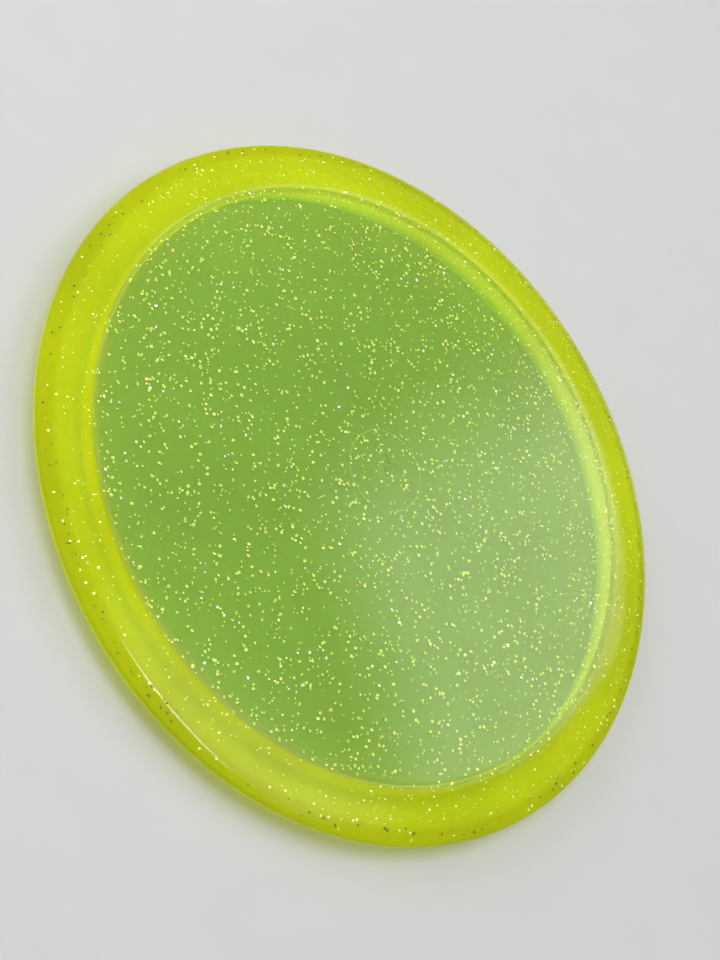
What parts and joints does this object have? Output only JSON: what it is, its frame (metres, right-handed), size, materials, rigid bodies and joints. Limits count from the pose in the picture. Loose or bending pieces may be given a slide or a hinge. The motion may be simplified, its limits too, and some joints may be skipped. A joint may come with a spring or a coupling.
{
  "type": "flying disc",
  "caption": "Translucent yellow-green flying disc for disc golf, with glitter in the plastic, a domed flight plate and a sharp-nosed hollow rim.",
  "frame": {"origin": "on the disc's axis, in the plane of the rim's flat underside", "axes": "+Z along the disc's axis of spin, from the open underside up to the crown of the flight plate"},
  "size_m": [0.212, 0.212, 0.018],
  "materials": {
    "disc_plastic": "clear yellow-green polyurethane, smooth and glossy, faintly milky",
    "coarse_glitter": "bright metallised polyester film",
    "fine_glitter": "bright metallised polyester film"
  },
  "bodies": {
    "root": {"disc_body": "disc_plastic", "coarse_flakes": "coarse_glitter", "fine_flakes": "fine_glitter"}
  },
  "joints": []
}
